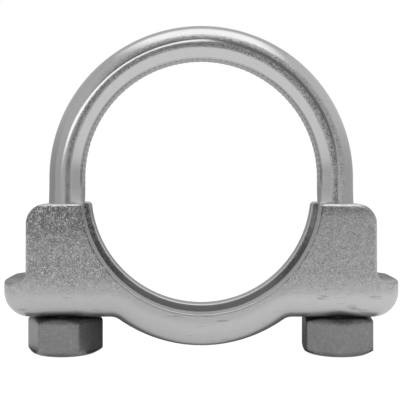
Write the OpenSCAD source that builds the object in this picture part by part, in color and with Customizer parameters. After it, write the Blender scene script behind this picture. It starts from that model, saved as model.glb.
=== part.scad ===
// U-bolt clamp for an exhaust pipe: a bent and threaded rod, a pressed steel saddle and two hex nuts.
// Millimetres. X runs across the clamp, Y along the pipe and Z up.
// The origin is on the pipe's axis, at the middle of the saddle's width.

/* [Pipe] */
// Outside diameter of the pipe that the cradle takes
pipe_d = 45; // [42:0.5:50]
// How far the bend's centre stands above the pipe's axis while the clamp is open
open_gap = 2.6; // [1:0.1:4]

/* [U-bolt] */
// Diameter of the rod, which is the pitch diameter of its rolled thread
rod_d = 7.1; // [6:0.1:7.6]
// Gap between the pipe and the side of each leg
leg_gap = 0.55; // [0.2:0.05:1.5]
// How deep the inside of the bend is pressed flat
press_depth = 0.35; // [0.2:0.05:0.6]
// Width of the pressed flat, wider than the rod's own chord because the press spreads the metal
flat_w = 5; // [4.6:0.1:5.4]
// Angle of the bend at each end that stays outside the flat
press_start = 15; // [12:1:25]
// Distance from one serration to the next along the flat
serration_pitch = 1.1; // [0.9:0.1:2]
// Depth of the serrations
serration_depth = 0.25; // [0.15:0.05:0.4]
// How far the legs end above the lower face of the nuts
leg_recess = 0.6; // [0.2:0.1:1.5]
// Length of the lead-in at the end of each leg
leg_chamfer = 0.7; // [0.4:0.1:1.2]

/* [Saddle] */
// Thickness of the steel sheet
sheet_t = 4; // [3:0.1:4.5]
// Clear width between the front and the back wall
channel_w = 9.4; // [8.4:0.1:12]
// Outer radius of the bend all round the base
bend_r = 5; // [4.7:0.1:6]
// Depth of the base's underside below the pipe's axis
base_depth = 23.6; // [22.5:0.1:25]
// Height of the end walls above the base's underside
end_wall_h = 7.4; // [6.5:0.1:9]
// Distance from each leg's axis to the end of the saddle
end_reach = 11.1; // [10.5:0.1:14]
// Distance from each leg's axis to the outer edge of its ears
ear_reach = 6.3; // [5.5:0.1:7.5]
// Depth of the ears' tops below the pipe's axis
ear_drop = 1.85; // [0.5:0.05:5]
// Radius of the ears' outer corners
ear_corner_r = 3.75; // [1:0.05:5]
// Radius of the inside corner between an ear and its wing
shoulder_r = 1.8; // [0.8:0.1:2.5]
// Radius on the top edge of the end walls
rim_r = 0.9; // [0.4:0.1:1.5]
// Depth of the belly's lowest point below the pipe's axis
belly_depth = 29.05; // [28.5:0.05:30]
// Outer radius of the belly
belly_r = 27.4; // [26:0.1:29]
// Gap round each leg in its hole in the base
hole_gap = 0.95; // [0.6:0.05:1.2]

/* [Nuts] */
// Width across the flats
nut_af = 13; // [12:0.1:13.5]
// Height of a nut
nut_h = 7.5; // [6:0.1:8.5]
// Diameter of the flat faces inside the chamfers
nut_face_d = 11.6; // [10.5:0.1:11.9]
// Slope of the chamfers
nut_chamfer_angle = 30; // [15:1:35]
// Running gap between a leg and the bore of its nut
thread_gap = 0.05; // [0.03:0.01:0.1]
// Width of the countersink round each end of the bore
countersink = 0.6; // [0.3:0.05:0.9]
// Turn of the left nut about its leg, where 0 has a flat to the front
left_nut_turn = -4; // [-30:1:30]
// Turn of the right nut about its leg
right_nut_turn = 30; // [-30:1:30]

/* [Hidden] */
$fn = 96;
// Cuts run this far past the faces that they open
over = 1;
// The die's cut runs this many degrees past each end of the flat
die_runout = 0.5;

rod_r = rod_d / 2;
leg_x = pipe_d / 2 + leg_gap + rod_r;

saddle_w = channel_w + 2 * sheet_t;
half_l = leg_x + end_reach;
ear_x = leg_x + ear_reach;
ear_z = -ear_drop;
base_z = -base_depth;
wing_z = base_z + end_wall_h;
belly_z = belly_r - belly_depth;

nut_top_z = base_z;
nut_bottom_z = nut_top_z - nut_h;
nut_bore_r = rod_r + thread_gap;
leg_end_z = nut_bottom_z + leg_recess;

flat_r = leg_x - rod_r + press_depth;
flat_angle = 180 - 2 * press_start;
serrations = round(flat_angle * PI / 180 * flat_r / serration_pitch);

// The U-bolt

// A stretch of the bend, from an angle above the right-hand side to the same angle on the left
module bend_stretch(from) {
    rotate([90, 0, 0])
        rotate([0, 0, from])
            rotate_extrude(angle = 180 - 2 * from)
                children();
}

// Section of the metal that the press moves aside, from just inside the round rod to the flat's corners
module shoulders_2d() {
    corner = [press_depth - rod_r, flat_w / 2];
    lean = atan2(corner.y, -corner.x) + acos(rod_r / norm(corner)) + 6;
    root = 0.97 * rod_r * [-cos(lean), sin(lean)];
    tip = corner + 0.3 * (corner - root);
    translate([leg_x, 0])
        for (side = [0, 1])
            mirror([0, side])
                polygon([[root.x, 0], root, tip, [tip.x, 0]]);
}

// Section of what the die takes away inside the flat
module die_2d() {
    translate([leg_x - rod_r - over, -rod_r - over])
        square([press_depth + over, 2 * (rod_r + over)]);
}

// One groove across the flat, as a prism that points outwards
module serration_groove() {
    half_w = serration_pitch * 0.4;
    mouth = 0.3;
    mouth_w = half_w * (serration_depth + mouth) / serration_depth;
    translate([flat_r, 0, 0])
        rotate([90, 0, 0])
            linear_extrude(height = rod_d + over, center = true)
                polygon([[-mouth, -mouth_w], [serration_depth, 0], [-mouth, mouth_w]]);
}

// The bend: round at both ends, with the serrated flat over the top
module bend() {
    difference() {
        union() {
            bend_stretch(0)
                translate([leg_x, 0])
                    circle(r = rod_r);
            bend_stretch(press_start)
                shoulders_2d();
        }
        bend_stretch(press_start - die_runout)
            die_2d();
        for (i = [0:serrations - 1])
            rotate([0, -press_start - (i + 0.5) * flat_angle / serrations, 0])
                serration_groove();
    }
}

// One straight leg, down from the end of the bend to the lead-in at its own end
module leg() {
    straight = open_gap - leg_end_z - leg_chamfer;
    translate([leg_x, 0, 0])
        mirror([0, 0, 1]) {
            cylinder(r = rod_r, h = straight);
            translate([0, 0, straight])
                cylinder(r1 = rod_r, r2 = rod_r - leg_chamfer, h = leg_chamfer);
        }
}

module u_bolt() {
    color("gainsboro")
        translate([0, 0, open_gap]) {
            bend();
            leg();
            mirror([1, 0, 0])
                leg();
        }
}

// The saddle

// The lower right quarter of a disc, which rounds a corner
module quarter_disc_2d(r) {
    intersection() {
        circle(r = r);
        translate([0, -r])
            square(r);
    }
}

// A flat floor between two rounded bends, with straight walls above them
module tray_section_2d(half_w, r, floor, top) {
    translate([-half_w, floor + r])
        square([2 * half_w, top - floor - r]);
    translate([-half_w + r, floor])
        square([2 * (half_w - r), r]);
    for (side = [0, 1])
        mirror([side, 0])
            translate([half_w - r, floor + r])
                quarter_disc_2d(r);
}

// The straight tray, with the same bend along its sides and round its ends
module straight_tray(inset, top) {
    l = half_l - inset;
    w = saddle_w / 2 - inset;
    r = bend_r - inset;
    floor = base_z + inset;
    rotate([90, 0, 90])
        linear_extrude(height = 2 * (l - r), center = true)
            tray_section_2d(w, r, floor, top);
    rotate([90, 0, 0])
        linear_extrude(height = 2 * (w - r), center = true)
            tray_section_2d(l, r, floor, top);
    for (x = [-1, 1], y = [-1, 1])
        translate([x * (l - r), y * (w - r), floor + r]) {
            sphere(r = r);
            cylinder(r = r, h = top - floor - r);
        }
}

// The belly, as a wheel about its arc's centre whose rim is rounded like the tray's bend
module belly(inset) {
    w = saddle_w / 2 - inset;
    r = bend_r - inset;
    rim = belly_r - inset;
    translate([0, 0, belly_z])
        rotate([90, 0, 0])
            rotate_extrude() {
                translate([0, -w])
                    square([rim - r, 2 * w]);
                translate([rim - r, -w + r])
                    square([r, 2 * (w - r)]);
                for (side = [0, 1])
                    mirror([0, side])
                        translate([rim - r, -w + r])
                            quarter_disc_2d(r);
            }
}

// Everything within the sheet's outer face, or within its inner face where inset is the thickness
module pressed_tray(inset, top) {
    straight_tray(inset, top);
    belly(inset);
}

// One ear seen from the front, with its shoulder
module ear_2d() {
    corner_x = ear_x - ear_corner_r;
    corner_z = ear_z - ear_corner_r;
    translate([0, wing_z - over]) {
        square([ear_x, corner_z - wing_z + over]);
        square([corner_x, ear_z - wing_z + over]);
    }
    translate([corner_x, corner_z])
        circle(r = ear_corner_r);
    difference() {
        translate([ear_x - over, wing_z - over])
            square(shoulder_r + over);
        translate([ear_x + shoulder_r, wing_z + shoulder_r])
            circle(r = shoulder_r);
    }
}

// The saddle seen from the front: wings, ears, and the cradle cut out for the pipe
module front_outline_2d() {
    bottom = -belly_depth - over;
    difference() {
        union() {
            translate([-half_l, bottom])
                square([2 * half_l, wing_z - rim_r - bottom]);
            translate([-half_l + rim_r, bottom])
                square([2 * (half_l - rim_r), wing_z - bottom]);
            for (side = [-1, 1])
                translate([side * (half_l - rim_r), wing_z - rim_r])
                    circle(r = rim_r);
            ear_2d();
            mirror([1, 0])
                ear_2d();
        }
        circle(d = pipe_d);
    }
}

module saddle() {
    color("silver")
        difference() {
            intersection() {
                pressed_tray(0, ear_z);
                rotate([90, 0, 0])
                    linear_extrude(height = saddle_w + over, center = true)
                        front_outline_2d();
            }
            pressed_tray(sheet_t, over);
            for (side = [-1, 1])
                translate([side * leg_x, 0, base_z - over])
                    cylinder(r = rod_r + hole_gap, h = sheet_t + 2 * over);
        }
}

// The nuts

// Outline of a turned nut with both rims chamfered, before the flats are cut
module chamfered_blank() {
    blank_r = nut_af / 2 / cos(30) + over;
    chamfer_h = (blank_r - nut_face_d / 2) * tan(nut_chamfer_angle);
    rotate_extrude()
        polygon([[0, 0], [nut_face_d / 2, 0], [blank_r, chamfer_h], [blank_r, nut_h - chamfer_h],
                 [nut_face_d / 2, nut_h], [0, nut_h]]);
}

module hex_nut(turn) {
    difference() {
        intersection() {
            chamfered_blank();
            rotate([0, 0, turn])
                cylinder(r = nut_af / 2 / cos(30), h = nut_h, $fn = 6);
        }
        translate([0, 0, -over])
            cylinder(r = nut_bore_r, h = nut_h + 2 * over);
        cylinder(r1 = nut_bore_r + countersink, r2 = nut_bore_r, h = countersink);
        translate([0, 0, nut_h - countersink])
            cylinder(r1 = nut_bore_r, r2 = nut_bore_r + countersink, h = countersink);
    }
}

module left_nut() {
    color("dimgray")
        translate([-leg_x, 0, nut_bottom_z])
            hex_nut(left_nut_turn);
}

module right_nut() {
    color("dimgray")
        translate([leg_x, 0, nut_bottom_z])
            hex_nut(right_nut_turn);
}

saddle();
u_bolt();
left_nut();
right_nut();
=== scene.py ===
import math

import bmesh
import bpy
import numpy as np
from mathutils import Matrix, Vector


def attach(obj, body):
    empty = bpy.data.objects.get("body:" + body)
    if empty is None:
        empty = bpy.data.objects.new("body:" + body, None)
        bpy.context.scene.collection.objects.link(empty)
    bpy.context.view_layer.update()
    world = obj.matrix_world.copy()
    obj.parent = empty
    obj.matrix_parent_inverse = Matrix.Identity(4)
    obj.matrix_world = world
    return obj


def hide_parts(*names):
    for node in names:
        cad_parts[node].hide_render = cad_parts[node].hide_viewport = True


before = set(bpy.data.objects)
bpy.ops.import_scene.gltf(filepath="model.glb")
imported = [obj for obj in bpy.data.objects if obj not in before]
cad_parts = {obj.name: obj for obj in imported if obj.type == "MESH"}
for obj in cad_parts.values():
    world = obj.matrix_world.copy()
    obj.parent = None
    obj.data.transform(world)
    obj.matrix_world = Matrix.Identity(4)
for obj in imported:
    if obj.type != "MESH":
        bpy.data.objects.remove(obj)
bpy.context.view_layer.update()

# Sizes in millimetres, as in the part's source; meshes are scaled to metres when they are made.
MM = 0.001

pipe_r = 22.5
bend_z = 3.0
rod_r = 3.55
leg_x = 26.6
leg_end_z = -30.5
lead_in = 0.7

flat_r = pipe_r + 0.45
press_depth = 0.35
mean_r = flat_r - press_depth + rod_r
neck_h = 11.0
press_end_z = -7.0
neck_turn = 2 * math.atan2(leg_x - mean_r, neck_h)
neck_upper_share = 0.77
neck_upper_r = neck_h / math.sin(neck_turn) * neck_upper_share
neck_lower_r = neck_h / math.sin(neck_turn) * (1 - neck_upper_share)
flat_w = 5.0
press_start = math.radians(15)
serrations = 56
serration_depth = 0.14

thread_pitch = 1.25
thread_r = 3.594
thread_crest = 0.36
thread_root = 0.33
thread_top_z = -8.5
thread_clearance = 0.1

half_l = 37.7
half_w = 8.7
bend_r = 5.0
sheet_t = 4.0
inner_bend_r = bend_r - sheet_t
base_z = -23.6
wing_z = -16.2
ear_x = 32.9
ear_z = -1.85
ear_corner_r = 3.75
shoulder_r = 1.8
belly_z = -1.65
belly_r = 27.4
belly_blend_r = 3.0
cradle_corner_r = 0.8
hole_r = 4.5
hole_burr = 0.3

nut_af = 13.0
nut_h = 7.5
nut_face_r = 5.8
nut_bore_mouth_r = 4.2
nut_chamfer = math.radians(30)
nut_bottom_z = base_z - nut_h
left_nut_turn = math.radians(-4)
right_nut_turn = math.radians(30)

# The photograph's camera: distance in front of the pipe's axis, and where its axis passes the object.
camera_distance = 176.5
camera_x = -0.82
camera_z = 3.35
image_px = 400
px_per_mm_at_axis = 5.102
axis_px = (197, 176)


# ---------------------------------------------------------------- mesh helpers
def to_mesh(name, points, faces, material, sharp_deg=32):
    """Makes a closed mesh object from points in millimetres and faces, merges doubles and turns faces outwards."""
    mesh = bpy.data.meshes.new(name)
    mesh.from_pydata((np.asarray(points) * MM).tolist(), [], faces)
    work = bmesh.new()
    work.from_mesh(mesh)
    bmesh.ops.remove_doubles(work, verts=work.verts, dist=0.002 * MM)
    bmesh.ops.dissolve_degenerate(work, edges=work.edges, dist=0.0005 * MM)
    bmesh.ops.recalc_face_normals(work, faces=work.faces)
    work.to_mesh(mesh)
    work.free()
    mesh.shade_smooth()
    mesh.set_sharp_from_angle(angle=math.radians(sharp_deg))
    mesh.materials.append(material)
    piece = bpy.data.objects.new(name, mesh)
    bpy.context.scene.collection.objects.link(piece)
    return piece


def grid_faces(rows, columns, wrap, first=0):
    """Quads between neighbouring rows and columns of a grid of vertices, closed round the columns where wrap is set."""
    r = np.arange(rows - 1)[:, None]
    c = np.arange(columns if wrap else columns - 1)[None, :]
    d = (c + 1) % columns
    quads = np.stack([r * columns + c, r * columns + d, (r + 1) * columns + d, (r + 1) * columns + c], axis=-1)
    return (quads.reshape(-1, 4) + first).tolist()


def soft_min(a, b, sharpness=24.0):
    """The smaller of two lengths, with the corner between them rounded: the sum of their inverse powers, inverted."""
    return (a ** -sharpness + b ** -sharpness) ** (-1.0 / sharpness)


def smooth_step(x):
    """0 below 0 and 1 above 1, with an even S between them."""
    x = np.clip(x, 0.0, 1.0)
    return x * x * (3.0 - 2.0 * x)


def thread_offset(azimuth, z):
    """Right-hand thread: a 60 degree sawtooth of height along the helix z / pitch - turn, cut off at crest and root."""
    turn = z / thread_pitch - azimuth / (2 * math.pi)
    tooth = 4.0 * np.abs(turn - np.floor(turn) - 0.5) - 1.0
    return np.clip(0.541 * tooth, -thread_root, thread_crest)


# ---------------------------------------------------------------- the U-bolt
def rod_section(phi, press, tooth):
    """Radius of the rod's section at angle phi from the outward side.

    Unpressed, it is a circle. Pressed, its inner side is a flat, and the metal that the press moved stands out in a
    wedge whose sides run straight from the circle to the flat's corners. The share of the press mixes the two. The
    distance of the flat shrinks with the tooth's depth, which fades towards the flat's corners.
    """
    cos, sin = np.cos(phi), np.abs(np.sin(phi))
    inward = np.maximum(-cos, 1e-6)
    reach = rod_r - press_depth
    lean = math.atan2(flat_w / 2, reach) + math.acos(rod_r / math.hypot(reach, flat_w / 2))
    towards_side = np.maximum(inward * math.cos(lean) + sin * math.sin(lean), 1e-6)
    wedge = np.where((cos < 0) & (np.arctan2(sin, inward) < lean), rod_r / towards_side, rod_r)
    flat = np.minimum(reach / inward, 60.0)
    pressed = soft_min(wedge, flat, 90.0)
    aside = np.clip(flat * sin / (flat_w / 2), 0.0, 1.0)
    bite = tooth * (1.0 - 0.65 * aside ** 3) * smooth_step((flat_w / 2 + 0.1 - pressed * sin) / 0.2) * (cos < 0)
    return rod_r + (pressed - rod_r) * press - bite / np.maximum(inward, 0.5)


def tooth_depth(count):
    """Depth of the serration at a distance counted in teeth: a V as wide as four fifths of the tooth."""
    wave = np.abs(count % 1.0 - 0.5) * 2.0
    return serration_depth * (1.0 - np.clip(wave / 0.8, 0.0, 1.0))


def rod_rows():
    """Stations along the rod, from the right leg's end over the bend to the left leg's end.

    A straight leg, a neck of two opposite arcs that steps in to the bend and takes up the press, the bend, and
    the same back down.
    Each row holds the centre's x and z, the outward direction in the plane of the bend, how far the section is
    pressed, the tooth's depth and how much of the thread it has.
    """
    per_pitch = 10
    thread_z = np.arange(leg_end_z, thread_top_z, thread_pitch / per_pitch)
    plain_z = np.linspace(thread_top_z, bend_z - neck_h, 6)[:-1]
    straight_z = np.concatenate([thread_z, plain_z])
    leg = np.zeros((len(straight_z), 7))
    leg[:, 0] = leg_x
    leg[:, 1] = straight_z
    leg[:, 2] = 1.0
    leg[:, 6] = smooth_step((thread_top_z - straight_z) / (1.5 * thread_pitch))
    tooth_angle = (math.pi - 2 * press_start) / serrations
    tooth_length = tooth_angle * flat_r
    arc = np.linspace(0.0, neck_turn, 25)
    lean = np.concatenate([arc[:-1], arc[:0:-1]])
    neck = np.zeros((len(lean), 7))
    half = len(arc) - 1
    neck[:half, 0] = leg_x - neck_lower_r * (1 - np.cos(lean[:half]))
    neck[:half, 1] = bend_z - neck_h + neck_lower_r * np.sin(lean[:half])
    neck[half:, 0] = mean_r + neck_upper_r * (1 - np.cos(lean[half:]))
    neck[half:, 1] = bend_z - neck_upper_r * np.sin(lean[half:])
    neck[:, 2] = np.cos(lean)
    neck[:, 3] = np.sin(lean)
    below = bend_z - neck[:, 1]
    neck[:, 4] = 1.0 - smooth_step((below - 4.5) / (bend_z - press_end_z - 4.5))
    neck[:, 5] = tooth_depth(-below / tooth_length) * smooth_step((2.6 - below) / 1.8)
    leg = np.concatenate([leg, neck])
    theta = np.linspace(0.0, math.pi, int(round(math.pi / tooth_angle * 7)) + 1)
    edge = np.minimum(theta, math.pi - theta)
    bend = np.stack([mean_r * np.cos(theta), bend_z + mean_r * np.sin(theta), np.cos(theta), np.sin(theta),
                     np.ones_like(theta), tooth_depth(edge / tooth_angle), np.zeros_like(theta)], axis=1)
    other = leg[::-1].copy()
    other[:, 0] *= -1
    other[:, 2] *= -1
    return np.concatenate([leg, bend, other])


def make_u_bolt(material):
    """The bent rod: a ring of the section at each station, with a point in the middle of each end."""
    rows = rod_rows()
    x, z, out_x, out_z, press, tooth, thread = (rows[:, i:i + 1] for i in range(7))
    count = 92
    phi = np.linspace(0.0, 2 * math.pi, count, endpoint=False)[None, :]
    azimuth = np.where(x > 0, phi, math.pi - phi)
    radius = rod_section(phi, press, tooth)
    radius = radius + thread * (thread_r - rod_r + thread_offset(azimuth, z + 0 * phi))
    radius = np.minimum(radius, np.where(z < bend_z, rod_r - lead_in + (z - leg_end_z), 99.0))
    u = radius * np.cos(phi)
    points = np.stack([x + out_x * u, radius * np.sin(phi), z + out_z * u], axis=-1).reshape(-1, 3)
    faces = grid_faces(len(rows), count, wrap=True)
    ends = [[leg_x, 0, leg_end_z], [-leg_x, 0, leg_end_z]]
    tip = len(points)
    last = (len(rows) - 1) * count
    ring = range(count)
    faces += [[tip, (i + 1) % count, i] for i in ring]
    faces += [[tip + 1, last + i, last + (i + 1) % count] for i in ring]
    return to_mesh("clamp_u_bolt", np.concatenate([points, ends]), faces, material, sharp_deg=50)


# ---------------------------------------------------------------- the saddle
straight_x = half_l - bend_r
straight_y = half_w - bend_r
spine_z = base_z + bend_r
blend_r = belly_blend_r + bend_r
spine_belly_r = belly_r - bend_r
blend_z = base_z - belly_blend_r
blend_x = math.sqrt((belly_r + belly_blend_r) ** 2 - (blend_z - belly_z) ** 2)
blend_angle = math.atan2(blend_x, belly_z - blend_z)
belly_length = spine_belly_r * blend_angle
blend_length = blend_r * blend_angle
rail_length = belly_length + blend_length + straight_x - blend_x
corner_length = bend_r * math.pi / 2


def rail(t):
    """Centre of the bend's section along a quarter of the rim, by distance t from the middle of the front wall.

    Seen from the front it is an arc round the belly's centre, then an opposite arc that blends into the base, then
    straight. Past the rail's end it stays at the corner, and then runs across the end wall. Returns x, y, z and the
    lean of the underside's normal.
    """
    on_belly = np.clip(t, 0, belly_length) / spine_belly_r
    on_blend = np.clip(t - belly_length, 0, blend_length) / blend_r
    on_flat = np.clip(t - belly_length - blend_length, 0, straight_x - blend_x)
    lean = on_belly - on_blend
    x = np.where(t < belly_length, spine_belly_r * np.sin(on_belly), blend_x - blend_r * np.sin(lean)) + on_flat
    z = np.where(t < belly_length, belly_z - spine_belly_r * np.cos(on_belly), blend_z + blend_r * np.cos(lean))
    y = -straight_y + np.clip(t - rail_length - corner_length, 0, straight_y)
    return x, y, z, lean


def round_plan(s):
    """Where a point of the wall lies in plan, by distance s from the middle of the front wall along its outer face.

    Straight, then a quarter turn about the corner's centre, then straight across the end. Returns the centre of the
    turn and the outward direction.
    """
    x = np.minimum(s, straight_x)
    turn = np.clip((s - straight_x) / bend_r, 0, math.pi / 2)
    y = -straight_y + np.clip(s - straight_x - corner_length, 0, straight_y)
    return x, y, np.sin(turn), -np.cos(turn)


def trimmed_edge():
    """The sheet's trimmed edge over a quarter of the rim, unrolled onto the wall.

    Arcs and lines in turn: the cradle, the ear's inner corner, its top, its outer corner, its side, the shoulder, the
    wing's corner and the end wall. Returns the foot's distance t, the edge's s and z, the outward normal in the
    unrolled wall, and the radius of the rolled-over rim.
    """
    foot, s, z, ns, nz, rim = [], [], [], [], [], []

    def stretch(feet, xs, zs, nxs, nzs, rims):
        foot.append(feet)
        s.append(np.where(xs > straight_x, straight_x + bend_r * np.arcsin(np.clip((xs - straight_x) / bend_r, 0, 1)), xs))
        z.append(zs)
        ns.append(nxs)
        nz.append(nzs)
        rim.append(rims)

    inner_z = ear_z - cradle_corner_r
    inner_x = math.sqrt((pipe_r + cradle_corner_r) ** 2 - inner_z ** 2)
    cradle_end = math.atan2(inner_x, -inner_z)
    a = np.concatenate([np.linspace(0, blend_angle, 40), np.linspace(blend_angle, cradle_end, 41)[1:]])
    near, ear_foot = belly_length, 23.0
    feet = np.where(a < blend_angle, a * spine_belly_r, near + (a - blend_angle) / (cradle_end - blend_angle) * (ear_foot - near))
    stretch(feet, pipe_r * np.sin(a), -pipe_r * np.cos(a), -np.sin(a), np.cos(a), 0.2 + 0 * a)
    b = np.linspace(cradle_end, math.pi, 9)[1:]
    stretch(ear_foot + (b - cradle_end) * 0.3, inner_x - cradle_corner_r * np.sin(b), inner_z - cradle_corner_r * np.cos(b),
            -np.sin(b), -np.cos(b), np.linspace(0.2, 0.7, 8))
    u = np.linspace(0, 1, 11)[1:]
    top_foot = ear_foot + (math.pi - cradle_end) * 0.3
    stretch(top_foot + u * (26.6 - top_foot), inner_x + u * (ear_x - ear_corner_r - inner_x), ear_z + 0 * u, 0 * u, 1 + 0 * u,
            0.7 + 0.3 * u)
    c = np.linspace(0, math.pi / 2, 19)[1:]
    stretch(26.6 + c / (math.pi / 2) * 3.0, ear_x - ear_corner_r * (1 - np.sin(c)), ear_z - ear_corner_r * (1 - np.cos(c)),
            np.sin(c), np.cos(c), 1.0 - 0.2 * c / (math.pi / 2))
    u = np.linspace(0, 1, 13)[1:]
    side_top, side_end = ear_z - ear_corner_r, wing_z + shoulder_r
    stretch(29.6 + u * (rail_length - 29.6), ear_x + 0 * u, side_top + u * (side_end - side_top), 1 + 0 * u, 0 * u, 0.8 - 0.2 * u)
    d = np.linspace(0, math.pi / 2, 13)[1:]
    shoulder_x = ear_x + shoulder_r * (1 - np.cos(d))
    wrap = straight_x + bend_r * np.arcsin(np.clip((ear_x + shoulder_r - straight_x) / bend_r, 0, 1))
    stretch(rail_length + d / (math.pi / 2) * (wrap - straight_x), shoulder_x, wing_z + shoulder_r * (1 - np.sin(d)),
            np.cos(d), np.sin(d), 0.6 + 0 * d)
    end_s = straight_x + corner_length + straight_y
    e = np.linspace(0, 1, 25)[1:]
    around = wrap + e * (end_s - wrap)
    foot.append(rail_length - straight_x + around)
    s.append(around)
    z.append(wing_z + 0 * e)
    ns.append(0 * e)
    nz.append(1 + 0 * e)
    rim.append(np.minimum(0.6 + 3 * e, 0.9))
    return [np.concatenate(v)[None, :] for v in (foot, s, z, ns, nz, rim)]


def saddle_quarter():
    """A quarter of the pressed sheet as one grid: each column is the sheet's section at one place on the rim.

    From the middle of the underside out to the bend, round it, up the outer wall, over the rim, down the inner wall,
    round the inner bend and back over the floor.
    """
    foot, edge_s, edge_z, normal_s, normal_z, rim = trimmed_edge()
    x0, y0, z0, lean = rail(foot)
    foot_s = np.where(foot < rail_length, x0, foot - rail_length + straight_x)
    plan_x, plan_y, dir_x, dir_y = round_plan(foot_s)
    ridge = straight_x - straight_y
    mid_y = np.where(foot < rail_length, -np.clip(x0 - ridge, 0, straight_y), y0)
    mid_x = np.where(foot < rail_length, x0, straight_x - np.where(foot < rail_length + corner_length, 0, straight_y - np.abs(y0)))
    rows = []

    def floor_rows(radius, shares):
        for f in shares:
            rows.append((x0 + radius * np.sin(lean) + f * (mid_x - x0), y0 + f * (mid_y - y0), z0 - radius * np.cos(lean)))

    def bend_rows(radius, turns):
        for psi in turns:
            down, out = radius * math.cos(psi), radius * math.sin(psi)
            rows.append((x0 + down * np.sin(lean) + out * dir_x, y0 + out * dir_y, z0 - down * np.cos(lean)))

    def wall_row(s, z, radius):
        px, py, dx, dy = round_plan(s)
        rows.append((px + radius * dx, py + radius * dy, z))

    def wall_rows(radius, drop, shares):
        top_s, top_z = edge_s - drop * normal_s, edge_z - drop * normal_z
        for g in shares:
            wall_row(foot_s + g * (top_s - foot_s), z0 + g * (top_z - z0), radius + 0 * foot_s)

    inner_rim = 0.25
    floor_rows(bend_r, np.linspace(1, 0, 6))
    bend_rows(bend_r, np.linspace(0, math.pi / 2, 15)[1:])
    wall_rows(bend_r, rim, np.linspace(0, 1, 9)[1:])
    for beta in np.linspace(0, math.pi / 2, 7)[1:]:
        drop = rim * (1 - math.sin(beta))
        wall_row(edge_s - drop * normal_s, edge_z - drop * normal_z, bend_r - rim * (1 - math.cos(beta)))
    for beta in np.linspace(math.pi / 2, 0, 5):
        drop = inner_rim * (1 - math.sin(beta))
        wall_row(edge_s - drop * normal_s, edge_z - drop * normal_z, inner_bend_r + inner_rim * (1 - math.cos(beta)) + 0 * rim)
    wall_rows(inner_bend_r, inner_rim, np.linspace(1, 0, 8)[1:])
    bend_rows(inner_bend_r, np.linspace(math.pi / 2, 0, 7)[1:])
    floor_rows(inner_bend_r, np.linspace(0, 1, 6)[1:])
    return np.stack([np.stack([np.broadcast_to(v, foot.shape)[0] for v in row], axis=-1) for row in rows])


def leg_hole_cutter(x):
    """A lathe-turned cutter for a leg's hole: a cylinder that flares at the sheet's two faces."""
    low, high = base_z, base_z + sheet_t
    z = np.array([low - 1, low - 1, low, low + hole_burr, high - hole_burr, high, high + 1, high + 1])
    r = np.array([0, hole_r + hole_burr + 1, hole_r + hole_burr, hole_r, hole_r, hole_r + hole_burr, hole_r + hole_burr + 1, 0])
    count = 72
    turn = np.linspace(0, 2 * math.pi, count, endpoint=False)
    points = np.stack([x + r[:, None] * np.cos(turn), r[:, None] * np.sin(turn), z[:, None] + 0 * turn], axis=-1)
    return to_mesh("hole_cutter", points.reshape(-1, 3), grid_faces(len(z), count, wrap=True), zinc_sheet)


def make_saddle(material):
    """The pressed sheet: one quarter mirrored twice and joined, then the two leg holes cut out of it."""
    quarter = saddle_quarter()
    rows, columns = quarter.shape[:2]
    points, faces = [], []
    for flip in ([1, 1, 1], [-1, 1, 1], [1, -1, 1], [-1, -1, 1]):
        faces += grid_faces(rows, columns, wrap=False, first=len(points) * rows * columns)
        points.append((quarter * flip).reshape(-1, 3))
    piece = to_mesh("clamp_saddle", np.concatenate(points), faces, material)
    for side in (-1, 1):
        cutter = leg_hole_cutter(side * leg_x)
        cut = piece.modifiers.new("leg_hole", "BOOLEAN")
        cut.operation = "DIFFERENCE"
        cut.solver = "EXACT"
        cut.object = cutter
        solid = bpy.data.meshes.new_from_object(piece.evaluated_get(bpy.context.evaluated_depsgraph_get()))
        piece.modifiers.clear()
        piece.data = solid
        bpy.data.objects.remove(cutter)
    solid.name = "clamp_saddle"
    solid.shade_smooth()
    solid.set_sharp_from_angle(angle=math.radians(32))
    return piece


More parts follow.
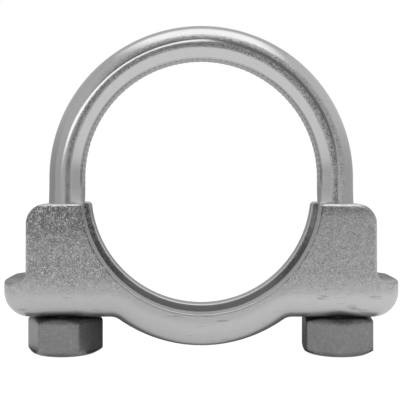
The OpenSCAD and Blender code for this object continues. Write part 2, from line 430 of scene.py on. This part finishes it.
# ---------------------------------------------------------------- the nuts
def make_nut(name, centre_x, turn, material):
    """A hexagon nut. Rays from a ring inside the wall meet the nearest of the six sides, the two faces and the two
    chamfer cones, and a soft minimum rounds the edges between them. The bore follows the leg's thread."""
    spread = np.linspace(-1, 1, 31)[:-1]
    one_side = np.sign(spread) * (1 - (1 - np.abs(spread)) ** 1.6) * math.pi / 6
    azimuth = (one_side[None, :] + np.arange(6)[:, None] * math.pi / 3).reshape(-1)[None, :]
    flat_r = nut_af / 2
    reach = np.zeros_like(azimuth)
    for k in range(6):
        cos = np.cos(azimuth - k * math.pi / 3)
        reach = reach + np.where(cos > 0.2, (np.maximum(cos, 0.2) / flat_r) ** 46.0, 0.0)
    side_r = reach ** (-1.0 / 46.0)
    ring_r, mid = nut_bore_mouth_r, nut_h / 2
    psi = np.linspace(-math.pi / 2, math.pi / 2, 121)[:, None]
    cos, sin = np.maximum(np.cos(psi), 1e-6), np.maximum(np.abs(np.sin(psi)), 1e-6)
    to_side = np.minimum((side_r - ring_r) / cos, 80.0)
    to_face = np.minimum(mid / sin, 80.0)
    slope = math.tan(nut_chamfer)
    to_cone = (mid + (nut_face_r - ring_r) * slope) / (cos * slope + sin)
    ray = soft_min(soft_min(to_side, to_face, 40.0), to_cone, 40.0)
    r = ring_r + ray * np.cos(psi)
    z = mid + ray * np.sin(psi)
    bore_z = np.linspace(nut_h - 0.1, 0.1, int(nut_h / thread_pitch * 10))[:, None]
    world_azimuth = azimuth + turn + math.pi / 6
    thread = thread_r + thread_clearance + thread_offset(world_azimuth, bore_z + nut_bottom_z)
    mouth = nut_bore_mouth_r - np.minimum(bore_z, nut_h - bore_z) * 0.9
    bore_r = np.maximum(thread, mouth)
    r = np.concatenate([r, bore_r])
    z = np.concatenate([z, np.broadcast_to(bore_z, bore_r.shape)])
    points = np.stack([centre_x + r * np.cos(world_azimuth), r * np.sin(world_azimuth), nut_bottom_z + z], axis=-1)
    rows, count = r.shape
    faces = grid_faces(rows, count, wrap=True)
    faces += [[(rows - 1) * count + i, (rows - 1) * count + (i + 1) % count, (i + 1) % count, i] for i in range(count)]
    return to_mesh(name, points.reshape(-1, 3), faces, material, sharp_deg=40)


# ---------------------------------------------------------------- shader helpers
def node(tree, kind, inputs=None, **settings):
    """Adds a node to a tree, sets its properties and the values of its inputs, or links them where a socket is given."""
    made = tree.nodes.new(kind)
    for key, value in settings.items():
        setattr(made, key, value)
    for key, value in (inputs or {}).items():
        if isinstance(value, bpy.types.NodeSocket):
            tree.links.new(value, made.inputs[key])
        else:
            made.inputs[key].default_value = value
    return made


def new_group(name, inputs, outputs):
    """A shader node group with named float or vector inputs and outputs. Returns the tree, its input and its output."""
    tree = bpy.data.node_groups.new(name, "ShaderNodeTree")
    for label, kind, value in inputs:
        socket = tree.interface.new_socket(label, in_out="INPUT", socket_type=kind)
        if value is not None:
            socket.default_value = value
    for label, kind in outputs:
        tree.interface.new_socket(label, in_out="OUTPUT", socket_type=kind)
    return tree, tree.nodes.new("NodeGroupInput"), tree.nodes.new("NodeGroupOutput")


def maths(tree, operation, *values, clamp=False):
    """A Math node on up to three values or sockets. Returns its output socket."""
    made = node(tree, "ShaderNodeMath", operation=operation, use_clamp=clamp)
    for i, value in enumerate(values):
        if isinstance(value, bpy.types.NodeSocket):
            tree.links.new(value, made.inputs[i])
        else:
            made.inputs[i].default_value = value
    return made.outputs[0]


def ramp(tree, value, low, high, out_low=0.0, out_high=1.0):
    """A smooth Map Range from low..high to out_low..out_high."""
    made = node(tree, "ShaderNodeMapRange", {"Value": value, "From Min": low, "From Max": high, "To Min": out_low,
                                             "To Max": out_high}, interpolation_type="SMOOTHSTEP")
    return made.outputs[0]


def make_mottle_group():
    """Orange-peel texture of rough sheet and plating: fine noise and cells, with a coarse noise drifting the tone, and
    the brightest grains are specks.
    """
    tree, given, out = new_group("zinc_mottle", [("Vector", "NodeSocketVector", None), ("Grain Size", "NodeSocketFloat", 0.5),
                                                 ("Contrast", "NodeSocketFloat", 1.0)],
                                 [("Tone", "NodeSocketFloat"), ("Specks", "NodeSocketFloat"), ("Height", "NodeSocketFloat")])
    scale = maths(tree, "DIVIDE", 1000.0, given.outputs["Grain Size"])
    fine = node(tree, "ShaderNodeTexNoise", {"Vector": given.outputs["Vector"], "Scale": scale, "Detail": 3.0,
                                             "Roughness": 0.6, "Distortion": 1.4})
    cells = node(tree, "ShaderNodeTexVoronoi", {"Vector": given.outputs["Vector"], "Scale": scale}, feature="SMOOTH_F1")
    broad = node(tree, "ShaderNodeTexNoise", {"Vector": given.outputs["Vector"], "Scale": maths(tree, "MULTIPLY", scale, 0.17),
                                              "Detail": 2.0})
    height = maths(tree, "ADD", maths(tree, "MULTIPLY", fine.outputs[0], 0.7),
                   maths(tree, "MULTIPLY", cells.outputs["Distance"], 0.5))
    tone = maths(tree, "MULTIPLY", maths(tree, "SUBTRACT", fine.outputs[0], 0.5), given.outputs["Contrast"])
    drift = maths(tree, "MULTIPLY", maths(tree, "SUBTRACT", broad.outputs[0], 0.5), given.outputs["Contrast"])
    tree.links.new(maths(tree, "ADD", maths(tree, "ADD", tone, maths(tree, "MULTIPLY", drift, 0.2)), 0.5), out.inputs["Tone"])
    tree.links.new(ramp(tree, fine.outputs[0], 0.58, 0.66), out.inputs["Specks"])
    tree.links.new(height, out.inputs["Height"])
    return tree


def make_drawn_lines_group():
    """Lines that a die or a tool leaves: noise at the given spacing, with a few deep ones."""
    tree, given, out = new_group("drawn_lines", [("Vector", "NodeSocketVector", None), ("Spacing", "NodeSocketFloat", 0.2)],
                                 [("Tone", "NodeSocketFloat"), ("Deep", "NodeSocketFloat")])
    scale = maths(tree, "DIVIDE", 1000.0, given.outputs["Spacing"])
    lines = node(tree, "ShaderNodeTexNoise", {"Vector": given.outputs["Vector"], "Scale": scale, "Detail": 2.0,
                                              "Roughness": 0.7})
    tree.links.new(lines.outputs[0], out.inputs["Tone"])
    tree.links.new(ramp(tree, lines.outputs[0], 0.66, 0.72), out.inputs["Deep"])
    return tree


def new_metal(name, roughness_floor):
    """An empty metal material: returns it with its tree, its Principled shader and the Object coordinates."""
    material = bpy.data.materials.new(name)
    material.use_nodes = True
    tree = material.node_tree
    shader = tree.nodes["Principled BSDF"]
    shader.inputs["Metallic"].default_value = 1.0
    shader.inputs["Roughness"].default_value = roughness_floor
    where = node(tree, "ShaderNodeTexCoord").outputs["Object"]
    return material, tree, shader, where


def grey_mix(tree, share, dark, light):
    """A grey between two tones by a share from 0 to 1."""
    return node(tree, "ShaderNodeMix", {0: share, 6: (dark, dark, dark, 1), 7: (light, light, light, 1)},
                data_type="RGBA").outputs[2]


mottle = make_mottle_group()
drawn_lines = make_drawn_lines_group()


def make_zinc_sheet():
    """Zinc-plated pressed sheet: dense orange peel on the walls, coarser towards the ears' tops, smoother and
    brighter where the die stretched it, with sparse dark scuffs along the bend. Painted shade darkens the left half,
    the ears' tops, the underside and the floor between the walls; painted highlights and glints brighten edges and
    walls."""
    material, tree, shader, where = new_metal("zinc_sheet", 0.35)
    place = node(tree, "ShaderNodeSeparateXYZ", {0: where})
    on_wall = ramp(tree, place.outputs["Z"], -0.0188, -0.0145)
    near_top = ramp(tree, place.outputs["Z"], -0.0105, -0.0025)
    top_rim = ramp(tree, place.outputs["Z"], -0.00235, -0.00205)
    under_rim = maths(tree, "SUBTRACT", ramp(tree, place.outputs["Z"], -0.0046, -0.0026), top_rim)
    # Painted shade: the left half of the sheet is darker, and the ears' tops are darker still, most on the left.
    left_shade = ramp(tree, place.outputs["X"], 0.034, -0.030)
    top_left_shade = maths(tree, "MULTIPLY", maths(tree, "SUBTRACT", near_top, top_rim), left_shade)
    from_axis = node(tree, "ShaderNodeVectorMath", {0: node(tree, "ShaderNodeCombineXYZ", {
        0: place.outputs["X"], 1: place.outputs["Z"]}).outputs[0]}, operation="LENGTH").outputs["Value"]
    depth = maths(tree, "ABSOLUTE", place.outputs["Y"])
    on_cut = ramp(tree, from_axis, (pipe_r + 0.15) * MM, (pipe_r + 0.05) * MM)
    inner_edge = maths(tree, "MULTIPLY", on_cut, ramp(tree, depth, 0.0057, 0.0053))
    # Painted shade on the underside and on the floor and inner bends between the two walls.
    shade_between_walls = ramp(tree, depth, 0.00475, 0.0046)
    beside = maths(tree, "MULTIPLY", ramp(tree, depth, 0.0083, 0.0086), ramp(
        tree, maths(tree, "ABSOLUTE", maths(tree, "SUBTRACT", from_axis, (pipe_r + 0.24) * MM)), 0.0002, 0.0001))
    peel = node(tree, "ShaderNodeGroup", node_tree=mottle)
    tree.links.new(where, peel.inputs["Vector"])
    peel.inputs["Grain Size"].default_value = 0.21
    peeled = maths(tree, "MULTIPLY", ramp(tree, place.outputs["Z"], -0.0205, -0.0165),
                   ramp(tree, place.outputs["X"], 0.028, -0.028, 1.5, 1.8))
    contrast = maths(tree, "ADD", peeled, maths(tree, "MULTIPLY", maths(tree, "MULTIPLY", top_left_shade, top_left_shade), 8.0))
    tree.links.new(maths(tree, "ADD", contrast, 0.35), peel.inputs["Contrast"])
    stretched = node(tree, "ShaderNodeMapping", {"Vector": where, "Scale": (0.16, 0.5, 1.0)})
    scuffs = node(tree, "ShaderNodeTexNoise", {"Vector": stretched.outputs[0], "Scale": 900.0, "Detail": 4.0, "Roughness": 0.65})
    scuffed = maths(tree, "MULTIPLY", ramp(tree, scuffs.outputs[0], 0.58, 0.7), maths(tree, "SUBTRACT", 1.0, on_wall))
    # Darkening: sparse scuffs along the bend; painted shade on the left half, the ears' tops, the underside and the
    # floor between the walls; a thin darker line beside the cradle's edge and a darker band under the ears' top rims.
    darkening = maths(tree, "ADD", maths(tree, "MULTIPLY", scuffed, 0.6), maths(tree, "MULTIPLY", top_left_shade, 0.36))
    darkening = maths(tree, "ADD", darkening, maths(tree, "MULTIPLY", left_shade, 0.14))
    darkening = maths(tree, "ADD", darkening, maths(tree, "MULTIPLY", beside, 0.25))
    darkening = maths(tree, "ADD", darkening, maths(tree, "MULTIPLY", shade_between_walls, 0.3))
    darkening = maths(tree, "ADD", darkening, maths(tree, "MULTIPLY", under_rim, 0.2))
    # Painted highlights: glints on the walls' brightest grains, and bright lines along the trimmed cradle edge, the
    # ears' top rims and their outer sides.
    bright = maths(tree, "ADD", maths(tree, "MULTIPLY", peel.outputs["Specks"], maths(tree, "MULTIPLY", on_wall, 0.5)),
                   maths(tree, "MULTIPLY", maths(tree, "MAXIMUM", inner_edge, top_rim), 0.6))
    bright = maths(tree, "ADD", bright, maths(tree, "MULTIPLY", on_cut, 0.3))
    ear_side = maths(tree, "MULTIPLY", ramp(tree, maths(tree, "ABSOLUTE", place.outputs["X"]), 0.03235, 0.03265),
                     ramp(tree, place.outputs["Z"], -0.0165, -0.0145))
    bright = maths(tree, "ADD", bright, maths(tree, "MULTIPLY", ear_side, 0.3))
    tone = maths(tree, "ADD", maths(tree, "SUBTRACT", maths(tree, "ADD", peel.outputs["Tone"], 0.01), darkening), bright, clamp=True)
    smooth_metal = grey_mix(tree, tone, 0.34, 0.75)
    rough_metal = grey_mix(tree, tone, 0.14, 0.70)
    colour = node(tree, "ShaderNodeMix", {0: on_wall, 6: smooth_metal, 7: rough_metal}, data_type="RGBA").outputs[2]
    # Painted glints: the walls' brightest grains turn nearly white, more so on the left.
    painted_glints = maths(tree, "MULTIPLY", peel.outputs["Specks"], maths(tree, "MULTIPLY", on_wall, ramp(
        tree, place.outputs["X"], 0.028, -0.028, 0.25, 0.7)))
    colour = node(tree, "ShaderNodeMix", {0: painted_glints, 6: colour, 7: (0.95, 0.95, 0.95, 1)}, data_type="RGBA").outputs[2]
    tree.links.new(colour, shader.inputs["Base Color"])
    tree.links.new(ramp(tree, peel.outputs["Tone"], 0.2, 0.9, 0.38, 0.28), shader.inputs["Roughness"])
    bump = node(tree, "ShaderNodeBump", {"Height": peel.outputs["Height"], "Distance": 0.00006,
                                         "Strength": maths(tree, "ADD", maths(tree, "MULTIPLY", peeled, 0.42), 0.1)})
    tree.links.new(bump.outputs[0], shader.inputs["Normal"])
    return material


def make_bright_rod():
    """Bright zinc on drawn rod: nearly smooth, with faint mottle, a rougher line along the front and back with a
    painted dark reflection in its colour, and a painted dark line of shade along each edge of the pressed flat."""
    material, tree, shader, where = new_metal("bright_rod", 0.15)
    place = node(tree, "ShaderNodeSeparateXYZ", {0: where})
    across = maths(tree, "ABSOLUTE", place.outputs["X"])
    above = maths(tree, "MAXIMUM", maths(tree, "SUBTRACT", place.outputs["Z"], bend_z * MM), 0.0)
    ring = maths(tree, "SQRT", maths(tree, "ADD", maths(tree, "MULTIPLY", across, across), maths(tree, "MULTIPLY", above, above)))
    depth = maths(tree, "ABSOLUTE", place.outputs["Y"])
    peel = node(tree, "ShaderNodeGroup", node_tree=mottle)
    tree.links.new(where, peel.inputs["Vector"])
    peel.inputs["Grain Size"].default_value = 0.2
    peel.inputs["Contrast"].default_value = 1.0
    from_corner = node(tree, "ShaderNodeVectorMath", {
        0: node(tree, "ShaderNodeCombineXYZ", {0: maths(tree, "SUBTRACT", ring, (flat_r + 0.2) * MM),
                                               1: maths(tree, "SUBTRACT", depth, (flat_w / 2 + 0.08) * MM)}).outputs[0]},
        operation="LENGTH").outputs["Value"]
    cloud = node(tree, "ShaderNodeGroup", node_tree=mottle)
    tree.links.new(where, cloud.inputs["Vector"])
    cloud.inputs["Grain Size"].default_value = 0.9
    in_bend = ramp(tree, place.outputs["Z"], 0.0, 0.003)
    # Painted shade: a dark line along each corner of the pressed flat, strongest lower on the bend and fading towards
    # its top.
    corner_shade_tone = ramp(tree, above, 0.017, 0.025, 0.36, 0.08)
    corner_shade = maths(tree, "MULTIPLY", ramp(tree, from_corner, 0.00034, 0.00016), in_bend)
    on_flat = maths(tree, "MULTIPLY", ramp(tree, ring, (flat_r + 0.32) * MM, (flat_r + 0.12) * MM),
                    maths(tree, "MULTIPLY", ramp(tree, depth, 0.0026, 0.0024), in_bend))
    # Bands on each side of the middle of the rod's front and back, on the bend's inner half and upper right: rougher
    # and bumpier, with a painted dark reflection in their colour.
    from_middle = maths(tree, "ABSOLUTE", maths(tree, "SUBTRACT", ring, (mean_r + 0.3) * MM))
    rough_and_reflection_line = maths(tree, "MULTIPLY", ramp(tree, from_middle, 0.0016, 0.0010), ramp(tree, from_middle, 0.0002, 0.00045))
    slanted = maths(tree, "ADD", place.outputs["Z"], maths(tree, "MULTIPLY", place.outputs["X"], 0.5))
    inner_half = ramp(tree, ring, (mean_r + 0.5) * MM, (mean_r + 0.1) * MM)
    rough_and_reflection_line = maths(tree, "MULTIPLY", rough_and_reflection_line, maths(tree, "MAXIMUM", inner_half, ramp(tree, slanted, 0.008, 0.020)))
    rough_and_reflection_line = maths(tree, "MULTIPLY", rough_and_reflection_line, ramp(tree, depth, 0.0030, 0.0034))
    grain = ramp(tree, peel.outputs["Tone"], 0.42, 0.56, 1.0, 0.0)
    frosted = maths(tree, "MULTIPLY", rough_and_reflection_line, ramp(tree, peel.outputs["Tone"], 0.50, 0.60))
    painted_dark_reflection = maths(tree, "MULTIPLY", rough_and_reflection_line, grain)
    # Darkening: a painted dark reflection along the rough line, and painted shade along the pressed flat's corners.
    darkening = maths(tree, "ADD", maths(tree, "MULTIPLY", painted_dark_reflection, 0.42), maths(tree, "MULTIPLY", corner_shade, corner_shade_tone), clamp=True)
    faint = maths(tree, "MULTIPLY", maths(tree, "SUBTRACT", cloud.outputs["Tone"], 0.5), 0.12)
    tone = maths(tree, "SUBTRACT", maths(tree, "SUBTRACT", maths(tree, "ADD", 0.75, faint), maths(tree, "MULTIPLY", on_flat, 0.12)), darkening, clamp=True)
    colour = grey_mix(tree, tone, 0.04, 0.74)
    tree.links.new(colour, shader.inputs["Base Color"])
    dull = maths(tree, "ADD", maths(tree, "MULTIPLY", rough_and_reflection_line, 0.06), maths(tree, "MULTIPLY", on_flat, 0.45))
    dull = maths(tree, "ADD", dull, maths(tree, "MULTIPLY", frosted, ramp(tree, place.outputs["X"], -0.005, 0.020, 0.0, 0.26)))
    tree.links.new(maths(tree, "ADD", dull, 0.12), shader.inputs["Roughness"])
    bump = node(tree, "ShaderNodeBump", {"Height": peel.outputs["Height"], "Distance": 0.00004,
                                         "Strength": maths(tree, "ADD", maths(tree, "MULTIPLY", rough_and_reflection_line, 0.95), 0.03)})
    tree.links.new(bump.outputs[0], shader.inputs["Normal"])
    return material


def make_nut_steel():
    """Plain matt steel of the nuts: dark grey, fine grain, small lighter specks, and painted shade on the chamfer zones
    at top and bottom.
    """
    material, tree, shader, where = new_metal("nut_steel", 0.42)
    height = node(tree, "ShaderNodeSeparateXYZ", {0: where}).outputs["Z"]
    top_z = nut_bottom_z + nut_h
    # Painted shade: the top and bottom chamfer zones are darkened where the nut meets the saddle and the floor.
    rim = maths(tree, "MAXIMUM", ramp(tree, height, (nut_bottom_z + 1.3) * MM, (nut_bottom_z + 0.4) * MM),
                ramp(tree, height, (top_z - 1.5) * MM, (top_z - 0.7) * MM))
    peel = node(tree, "ShaderNodeGroup", node_tree=mottle)
    tree.links.new(where, peel.inputs["Vector"])
    peel.inputs["Grain Size"].default_value = 0.4
    peel.inputs["Contrast"].default_value = 0.7
    specks = maths(tree, "MULTIPLY", peel.outputs["Specks"], 0.12)
    tone = maths(tree, "ADD", maths(tree, "SUBTRACT", peel.outputs["Tone"], maths(tree, "MULTIPLY", rim, 0.32)), specks, clamp=True)
    colour = grey_mix(tree, tone, 0.08, 0.42)
    tree.links.new(colour, shader.inputs["Base Color"])
    bump = node(tree, "ShaderNodeBump", {"Height": peel.outputs["Height"], "Distance": 0.00004, "Strength": 0.3})
    tree.links.new(bump.outputs[0], shader.inputs["Normal"])
    return material


zinc_sheet = make_zinc_sheet()
bright_rod = make_bright_rod()
nut_steel = make_nut_steel()

saddle = make_saddle(zinc_sheet)
u_bolt = make_u_bolt(bright_rod)
left_nut = make_nut("clamp_left_nut", -leg_x, left_nut_turn, nut_steel)
right_nut = make_nut("clamp_right_nut", leg_x, right_nut_turn, nut_steel)

for piece, body, slot in ((saddle, "saddle", "pressed_sheet"), (u_bolt, "u_bolt", "bright_rod"),
                          (left_nut, "left_nut", "nut_steel"), (right_nut, "right_nut", "nut_steel")):
    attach(piece, body)
    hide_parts(body)


# Floor, cards, lights and camera

def studio_plane(name, corners, material):
    """A flat piece of the studio with its corners in millimetres."""
    mesh = bpy.data.meshes.new(name)
    mesh.from_pydata((np.asarray(corners, float) * MM).tolist(), [], [range(len(corners))])
    mesh.materials.append(material)
    piece = bpy.data.objects.new(name, mesh)
    bpy.context.scene.collection.objects.link(piece)
    return piece


def seen_directly(tree):
    """A mask that is 1 for what the camera sees, straight or in metal and glass, and 0 for light that falls on things."""
    path = node(tree, "ShaderNodeLightPath")
    mirrored = maths(tree, "MAXIMUM", path.outputs["Is Glossy Ray"], path.outputs["Is Transmission Ray"])
    return maths(tree, "MAXIMUM", path.outputs["Is Camera Ray"], mirrored)


def make_floor():
    """A pale floor under the nuts. The camera sees it mostly as plain white, with part of its real shading for shadows."""
    material = bpy.data.materials.new("floor_white")
    material.use_nodes = True
    tree = material.node_tree
    tree.nodes.remove(tree.nodes["Principled BSDF"])
    shaded = node(tree, "ShaderNodeBsdfDiffuse", {"Color": (0.8, 0.8, 0.8, 1)})
    white = node(tree, "ShaderNodeEmission", {"Color": (1, 1, 1, 1), "Strength": 1.16})
    share = node(tree, "ShaderNodeMix", {0: node(tree, "ShaderNodeLightPath").outputs["Is Camera Ray"], 2: 0.55, 3: 0.85},
                 data_type="FLOAT").outputs[0]
    mixed = node(tree, "ShaderNodeMixShader", {0: maths(tree, "MULTIPLY", seen_directly(tree), share)})
    tree.links.new(shaded.outputs[0], mixed.inputs[1])
    tree.links.new(white.outputs[0], mixed.inputs[2])
    tree.links.new(mixed.outputs[0], tree.nodes["Material Output"].inputs["Surface"])
    size = 3000
    return studio_plane("floor", [(-size, -size, nut_bottom_z), (size, -size, nut_bottom_z), (size, size, nut_bottom_z),
                                    (-size, size, nut_bottom_z)], material)


def make_world():
    """A plain world: white for the camera and in reflections, grey for the light that it throws."""
    world = bpy.data.worlds.new("plain_world")
    bpy.context.scene.world = world
    world.use_nodes = True
    tree = world.node_tree
    ground = tree.nodes["Background"]
    ground.inputs["Color"].default_value = (1, 1, 1, 1)
    strength = node(tree, "ShaderNodeMix", {0: seen_directly(tree), 2: 0.42, 3: 1.0}, data_type="FLOAT")
    tree.links.new(strength.outputs[0], ground.inputs["Strength"])


def add_card(name, corners, tone, high_tone=None):
    """A card or wall round the table that only reflections see, of one tone or fading to another one higher up."""
    material = bpy.data.materials.new(name)
    material.use_nodes = True
    tree = material.node_tree
    tree.nodes.remove(tree.nodes["Principled BSDF"])
    glow = node(tree, "ShaderNodeEmission", {"Color": (1, 1, 1, 1), "Strength": tone})
    tree.links.new(glow.outputs[0], tree.nodes["Material Output"].inputs["Surface"])
    if high_tone is not None:
        place = node(tree, "ShaderNodeSeparateXYZ", {0: node(tree, "ShaderNodeTexCoord").outputs["Object"]})
        tree.links.new(ramp(tree, place.outputs["Z"], -0.01, 0.16, tone, high_tone), glow.inputs["Strength"])
    card = studio_plane(name, corners, material)
    card.visible_camera = False
    card.visible_diffuse = False
    card.visible_shadow = False
    card.visible_transmission = False
    return tree, glow


def add_ceiling():
    """The ceiling that reflections see: grey, with the softbox's bright patch fading out towards its sides."""
    tree, glow = add_card("ceiling", [(-300, -520, 420), (300, -520, 420), (300, 500, 420), (-300, 500, 420)], 0.66)
    place = node(tree, "ShaderNodeSeparateXYZ", {0: node(tree, "ShaderNodeTexCoord").outputs["Object"]})
    skewed = maths(tree, "ADD", place.outputs["X"], maths(tree, "MULTIPLY", place.outputs["Y"], 0.22))
    aside = ramp(tree, maths(tree, "ABSOLUTE", skewed), 0.330, 0.140)
    behind = ramp(tree, place.outputs["Y"], 0.200, 0.030)
    before = ramp(tree, place.outputs["Y"], -0.390, -0.300)
    patch = maths(tree, "MULTIPLY", maths(tree, "MULTIPLY", aside, behind), before)
    tree.links.new(maths(tree, "ADD", maths(tree, "MULTIPLY", patch, 0.9), 0.66), glow.inputs["Strength"])


def add_cards():
    """The grey room round the table, the dark photographer in front of it and a bright window beside them."""
    low = nut_bottom_z + 0.5
    add_card("left_wall", [(-300, -520, low), (-300, -60, low), (-300, -60, 420), (-300, -520, 420)], 0.54, 0.65)
    add_card("left_wall_back", [(-300, -60, low), (-300, 500, low), (-300, 500, 420), (-300, -60, 420)], 0.40, 0.62)
    add_card("right_wall", [(300, -520, low), (300, 500, low), (300, 500, 420), (300, -520, 420)], 0.53, 0.76)
    add_card("front_wall", [(-300, -520, low), (300, -520, low), (300, -520, 420), (-300, -520, 420)], 0.6)
    add_card("back_card", [(-300, 500, low), (300, 500, low), (300, 500, 420), (-300, 500, 420)], 0.3, 0.5)
    add_ceiling()
    add_card("dark_table", [(-78, -519, low), (78, -519, low), (78, -165, low), (-78, -165, low)], 0.2)
    outline = [(-74, low), (96, low), (100, 8), (180, 40), (204, 105), (170, 200), (80, 300), (-60, 300), (-150, 210),
               (-172, 110), (-120, 40), (-74, 8)]
    add_card("photographer", [(x, -420, z) for x, z in outline], 0.2)
    add_card("shaded_table", [(-36, -4.5, low), (36, -4.5, low), (36, 50, low), (-36, 50, low)], 0.14)
    add_card("window", [(-235, -400, 38), (-48, -400, 52), (-48, -400, 126), (-235, -400, 104)], 1.8)
    add_card("window_end", [(-48, -400, 52), (12, -400, 122), (12, -400, 222), (-48, -400, 126)], 1.8)
    add_card("window_tail", [(-298, -400, 0), (-235, -400, 30), (-235, -400, 100), (-298, -400, 56)], 0.95)


def add_area_light(name, place, target, size, energy):
    """A soft rectangular lamp at a place in millimetres, turned to its target."""
    data = bpy.data.lights.new(name, "AREA")
    data.shape = "RECTANGLE"
    data.size, data.size_y = size[0] * MM, size[1] * MM
    data.energy = energy
    lamp = bpy.data.objects.new(name, data)
    bpy.context.scene.collection.objects.link(lamp)
    spot = np.array(place) * MM
    lamp.location = spot
    lamp.rotation_euler = Vector(np.array(target) * MM - spot).to_track_quat("-Z", "Y").to_euler()
    lamp.visible_glossy = False
    return lamp


def make_camera():
    """The photograph's camera: level, in front of the clamp, with the shift that puts its axis at the right pixel."""
    data = bpy.data.cameras.new("camera")
    data.sensor_width = 36.0
    data.lens = px_per_mm_at_axis * camera_distance * data.sensor_width / image_px
    data.shift_x = (image_px / 2 - axis_px[0]) / image_px
    data.shift_y = (axis_px[1] - image_px / 2) / image_px
    data.clip_start = 0.005
    camera = bpy.data.objects.new("camera", data)
    camera.location = (camera_x * MM, -camera_distance * MM, camera_z * MM)
    camera.rotation_euler = (math.pi / 2, 0, 0)
    bpy.context.scene.collection.objects.link(camera)
    bpy.context.scene.camera = camera


make_floor()
make_world()
add_cards()
add_area_light("overhead_light", (33, -33, 330), (33, -33, 0), (533, 407), 0.95)
make_camera()
bpy.context.scene.view_settings.view_transform = "Standard"
